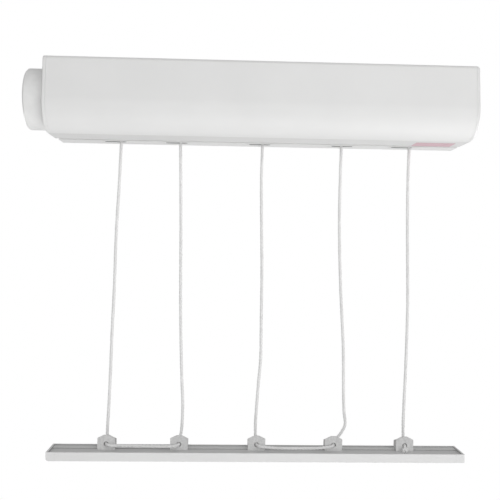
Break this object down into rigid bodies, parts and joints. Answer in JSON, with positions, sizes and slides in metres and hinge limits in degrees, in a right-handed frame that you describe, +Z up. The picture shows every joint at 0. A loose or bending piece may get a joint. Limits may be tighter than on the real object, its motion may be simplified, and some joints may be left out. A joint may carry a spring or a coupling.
{
  "type": "retractable clothes line",
  "caption": "Wall-mounted retractable clothes line: a long housing with a sprung drum, white lines that hang from its underside, a slim end bar on the lines and a brake knob on the left end.",
  "frame": {"origin": "centre of the four wall screw holes, on the wall plane, at the housing's mid height", "axes": "+X along the housing to its end without a knob, +Y into the wall, +Z up; the cover faces -Y"},
  "size_m": [0.4006, 0.073, 0.3568],
  "materials": {
    "cover_white": "satin",
    "base_white": "satin",
    "knob_white": "satin",
    "bar_white": "satin",
    "line_white": "matte",
    "label_pink": "matte",
    "inner_grey": "matte",
    "bush_tan": "satin",
    "steel": "brushed",
    "spring_steel": "brushed",
    "dark_plastic": "satin",
    "pad_black": "matte"
  },
  "bodies": {
    "housing": {"base": "base_white", "front_cover": "cover_white", "end_cap_left": "cover_white", "end_cap_right": "cover_white", "end_cap_screws": "steel", "line_guide_1": "base_white", "line_guide_2": "base_white", "line_guide_3": "base_white", "line_guide_4": "base_white", "line_guide_5": "base_white", "bracket_left": "inner_grey", "bracket_right": "inner_grey", "bracket_screws": "steel", "bush_left": "bush_tan", "bush_right": "bush_tan", "spring_cup": "steel", "knob_bush": "inner_grey", "brake_pin": "steel", "brake_spring": "spring_steel", "line_leads": "line_white", "blank_label": "label_pink"},
    "drum": {"drum": "inner_grey", "shaft": "steel", "brake_wheel": "dark_plastic", "spring_arbor": "dark_plastic", "mainspring": "spring_steel", "line_winding_1": "line_white", "line_winding_2": "line_white", "line_winding_3": "line_white", "line_winding_4": "line_white", "line_winding_5": "line_white"},
    "brake": {"brake_lever": "dark_plastic", "brake_pad": "pad_black"},
    "knob": {"knob": "knob_white", "knob_cam": "dark_plastic", "knob_screw": "steel", "knob_badge": "knob_white"},
    "lines": {"line_cord_a": "line_white", "line_cord_b": "line_white", "line_cord_c": "line_white"},
    "bar": {"bar_rail": "bar_white", "bar_end_left": "bar_white", "bar_end_right": "bar_white", "line_lug_1": "bar_white", "line_lug_2": "bar_white", "line_lug_3": "bar_white", "line_lug_4": "bar_white", "line_lug_5": "bar_white", "end_knot": "line_white"}
  },
  "joints": [
    {"name": "line_swing", "type": "hinge", "parent": "housing", "child": "lines", "pos_m": [0, -0.016, -0.0335], "axis": [-1, 0, 0], "range_deg": [0, 15]},
    {"name": "bar_travel", "type": "slide", "parent": "lines", "child": "bar", "axis": [0, 0, -1], "range_m": [-0.27, 2], "deforming": ["line_cord_a", "line_cord_b", "line_cord_c"]},
    {"name": "drum_spin", "type": "hinge", "parent": "housing", "child": "drum", "pos_m": [0, -0.0365, 0], "axis": [1, 0, 0], "range_deg": [-5700, 800]},
    {"name": "knob_turn", "type": "hinge", "parent": "housing", "child": "knob", "pos_m": [0, -0.0365, 0], "axis": [1, 0, 0], "range_deg": [0, 60]},
    {"name": "brake_lift", "type": "hinge", "parent": "housing", "child": "brake", "pos_m": [0, -0.0555, 0.0085], "axis": [1, 0, 0], "range_deg": [0, 12.5], "deforming": ["brake_spring"]}
  ],
  "couplings": [
    {"joint": "drum_spin", "follows": "bar_travel", "rad_per_m": -48.781},
    {"joint": "brake_lift", "follows": "knob_turn", "ratio": 0.2}
  ]
}
